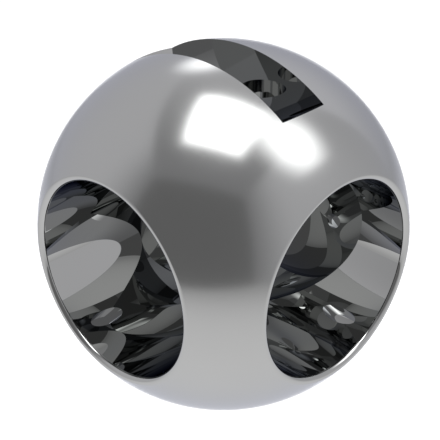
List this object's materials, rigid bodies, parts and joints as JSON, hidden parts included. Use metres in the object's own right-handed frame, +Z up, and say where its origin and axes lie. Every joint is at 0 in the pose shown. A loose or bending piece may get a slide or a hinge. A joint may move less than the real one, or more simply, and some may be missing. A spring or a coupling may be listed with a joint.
{
  "type": "l-port valve ball",
  "caption": "Ball of a three-way floating ball valve: full-bore ports meet at a right angle inside the sphere, with a blind stem slot across the crown and a vent hole in the slot's floor.",
  "frame": {"origin": "centre of the sealing sphere, where the axes of both ports and of the stem cross", "axes": "+X out of port A, -Y out of port B, +Z up the stem's axis and out of the stem slot, whose length runs along X"},
  "size_m": [0.0858, 0.0858, 0.0935],
  "materials": {
    "stainless_steel": "satin lapped sphere, bright bored ports and bright milled stem slot"
  },
  "bodies": {
    "root": {"valve_ball": "stainless_steel"}
  },
  "joints": []
}
